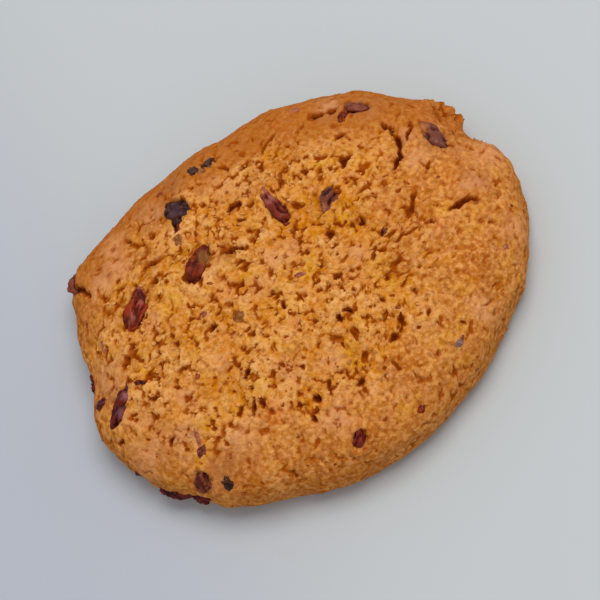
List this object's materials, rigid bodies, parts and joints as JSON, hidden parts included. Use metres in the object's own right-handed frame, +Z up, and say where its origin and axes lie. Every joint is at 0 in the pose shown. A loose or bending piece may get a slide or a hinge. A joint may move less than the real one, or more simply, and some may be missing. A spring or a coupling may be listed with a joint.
{
  "type": "raisin shortbread cookie",
  "caption": "Oval drop cookie of short dough, domed above and flat below, with a crumbly pitted middle, a smooth round edge and dark raisins set in its top.",
  "frame": {"origin": "on the flat underside, under the middle of the cookie", "axes": "+Z up out of the domed top, +X along the oval's long axis, -Y towards the side with the widest smooth edge"},
  "size_m": [0.0702, 0.0554, 0.0155],
  "materials": {
    "dough": null,
    "raisin": null
  },
  "bodies": {
    "root": {"shortbread": "dough", "raisin_large": "raisin", "raisin_brown": "raisin", "raisin_glossy": "raisin", "raisin_left_end": "raisin", "raisin_slanted": "raisin", "raisin_black": "raisin", "raisin_purple": "raisin", "raisin_far_edge": "raisin", "raisin_near_edge": "raisin", "raisin_lower_left": "raisin", "raisin_corner": "raisin"}
  },
  "joints": []
}
